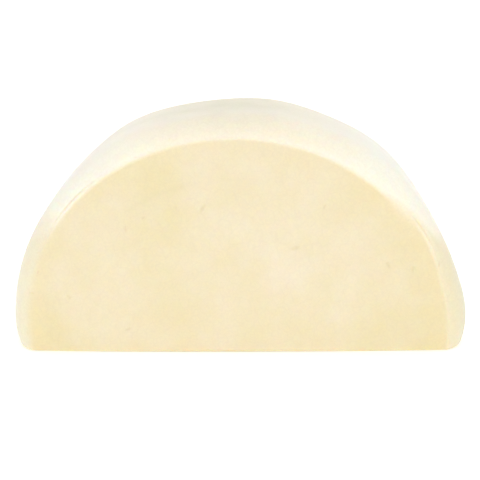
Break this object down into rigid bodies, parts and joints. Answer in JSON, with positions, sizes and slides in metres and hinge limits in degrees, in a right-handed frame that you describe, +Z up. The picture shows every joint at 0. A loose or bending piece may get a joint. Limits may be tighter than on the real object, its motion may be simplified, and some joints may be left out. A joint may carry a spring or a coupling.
{
  "type": "half wheel of fontina cheese",
  "caption": "Half of a round, rindless wheel of mild cheese, standing upright on its flat cut side.",
  "frame": {"origin": "middle of the flat cut that the piece stands on", "axes": "+Z up, +X to the right along the cut when the front face is seen, -Y out of the front face; the whole wheel's axis runs along Y"},
  "size_m": [0.2834, 0.089, 0.148],
  "materials": {
    "cheese": "smooth, moist and faintly waxy cut curd, cream to pale yellow"
  },
  "bodies": {
    "root": {"half_wheel": "cheese"}
  },
  "joints": []
}
